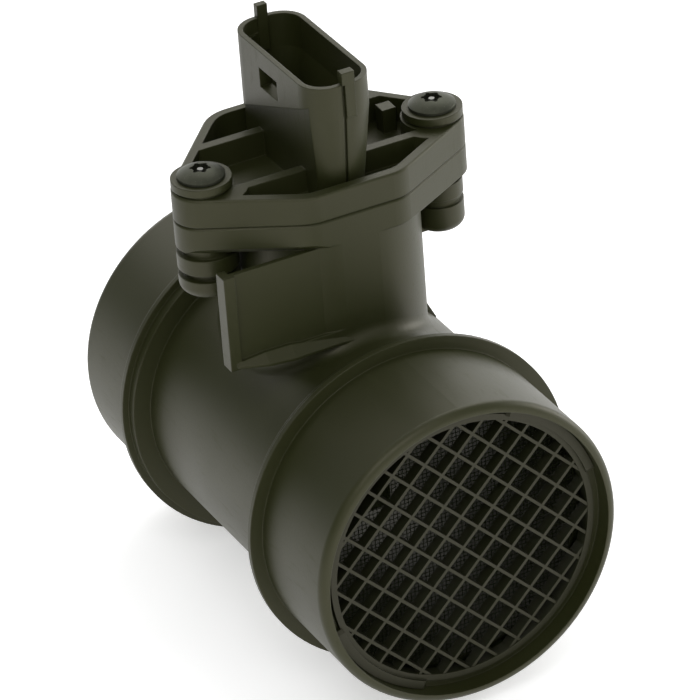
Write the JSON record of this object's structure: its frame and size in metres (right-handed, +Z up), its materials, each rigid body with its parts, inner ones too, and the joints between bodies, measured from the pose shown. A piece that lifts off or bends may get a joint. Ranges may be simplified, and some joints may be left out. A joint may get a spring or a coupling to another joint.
{
  "type": "mass airflow sensor",
  "caption": "Hot-film mass airflow sensor: a black tube between two hose spigots with a diagonal inlet grid and a plug-in module with an upright oval connector.",
  "frame": {"origin": "on the duct axis, inside the parallel wall of the inlet hose spigot near its outer end", "axes": "+X along the duct axis out of the inlet, against the flow; +Z up through the neck and out of the connector; Y across"},
  "size_m": [0.1145, 0.0758, 0.1322],
  "materials": {
    "housing_plastic": "satin black glass-filled moulding",
    "grid_plastic": "satin black moulding",
    "screen_wire": "fine woven stainless wire",
    "module_plastic": "satin black glass-filled moulding",
    "seal_rubber": "smooth rubber",
    "cover_plastic": "satin black moulding",
    "plate_metal": "plain sheet",
    "board_ceramic": "white thick-film ceramic",
    "chip_plastic": "moulded chip package",
    "carrier_plastic": "moulded carrier",
    "film_ceramic": "polished sensor chip",
    "thermistor_glass": "sealed bead on leads",
    "capacitor_ceramic": "ceramic chip",
    "screw_steel": "black-passivated steel",
    "insert_brass": "knurled insert, plain outside here",
    "terminal_brass": "tin-plated blade"
  },
  "bodies": {
    "root": {"tube_housing": "housing_plastic", "flow_grid": "grid_plastic", "wire_screen": "screen_wire", "sensor_module": "module_plastic", "seal_ring": "seal_rubber", "channel_cover": "cover_plastic", "electronics_cover": "cover_plastic", "base_plate": "plate_metal", "hybrid_board": "board_ceramic", "evaluation_chip": "chip_plastic", "sensor_carrier": "carrier_plastic", "hot_film_element": "film_ceramic", "air_temperature_sensor": "thermistor_glass", "capacitor_1": "capacitor_ceramic", "capacitor_2": "capacitor_ceramic", "screw_left": "screw_steel", "screw_right": "screw_steel", "threaded_insert_left": "insert_brass", "threaded_insert_right": "insert_brass", "terminal_1": "terminal_brass", "terminal_2": "terminal_brass", "terminal_3": "terminal_brass", "terminal_4": "terminal_brass", "terminal_5": "terminal_brass"}
  },
  "joints": []
}
